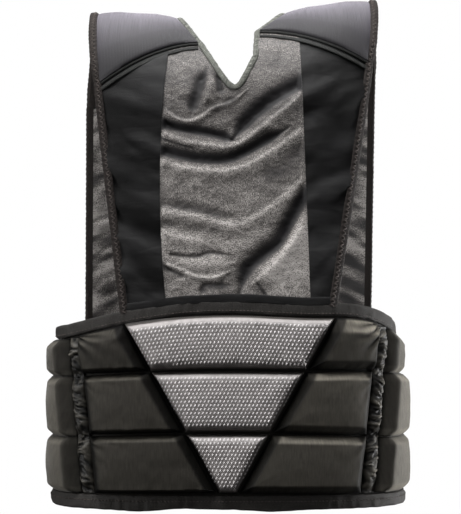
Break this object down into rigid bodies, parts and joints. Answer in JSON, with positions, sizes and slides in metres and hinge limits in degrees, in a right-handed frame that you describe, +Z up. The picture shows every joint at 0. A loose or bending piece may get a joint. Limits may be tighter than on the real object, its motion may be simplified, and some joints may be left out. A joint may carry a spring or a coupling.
{
  "type": "football back and rib protector",
  "caption": "Padded back and rib protector vest for football: foam-block belt round the torso, slack mesh back panel, plain front panel and padded shoulder straps.",
  "frame": {"origin": "between the two shoulder straps on the middle plane of the belt, level with the underside of the straps' crests at the neck, where the wearer's shoulders carry the vest", "axes": "+Z up along the wearer's spine, the back of the vest faces -Y, +X towards the right as seen from behind"},
  "size_m": [0.381, 0.227, 0.5245],
  "materials": {
    "black_nylon": "semi-matt woven nylon over foam",
    "silver_print": "grey fabric with a fine raised pattern of light dots",
    "grey_mesh": "sheer glossy knit",
    "black_knit": "dense stretch knit",
    "neoprene": "matt jersey over soft foam",
    "tape": "folded elastic tape with cover stitching"
  },
  "bodies": {
    "root": {"belt_shell": "black_nylon", "belt_top_binding": "tape", "belt_bottom_binding": "tape", "pad_upper_centre": "silver_print", "pad_upper_back_left": "black_nylon", "pad_upper_back_right": "black_nylon", "pad_upper_side_left": "black_nylon", "pad_upper_side_right": "black_nylon", "pad_upper_front_left": "black_nylon", "pad_upper_front_right": "black_nylon", "pad_middle_centre": "silver_print", "pad_middle_back_left": "black_nylon", "pad_middle_back_right": "black_nylon", "pad_middle_side_left": "black_nylon", "pad_middle_side_right": "black_nylon", "pad_middle_front_left": "black_nylon", "pad_middle_front_right": "black_nylon", "pad_lower_centre": "silver_print", "pad_lower_back_left": "black_nylon", "pad_lower_back_right": "black_nylon", "pad_lower_side_left": "black_nylon", "pad_lower_side_right": "black_nylon", "pad_lower_front_left": "black_nylon", "pad_lower_front_right": "black_nylon", "gather_left": "black_nylon", "gather_right": "black_nylon", "back_mesh": "grey_mesh", "back_band_left": "black_knit", "back_band_right": "black_knit", "front_panel": "grey_mesh", "shoulder_pad_left": "neoprene", "shoulder_pad_right": "neoprene", "neck_binding": "tape", "armhole_binding_left": "tape", "armhole_binding_right": "tape", "piping_back_left": "tape", "piping_back_right": "tape", "piping_front_left": "tape", "piping_front_right": "tape"}
  },
  "joints": []
}
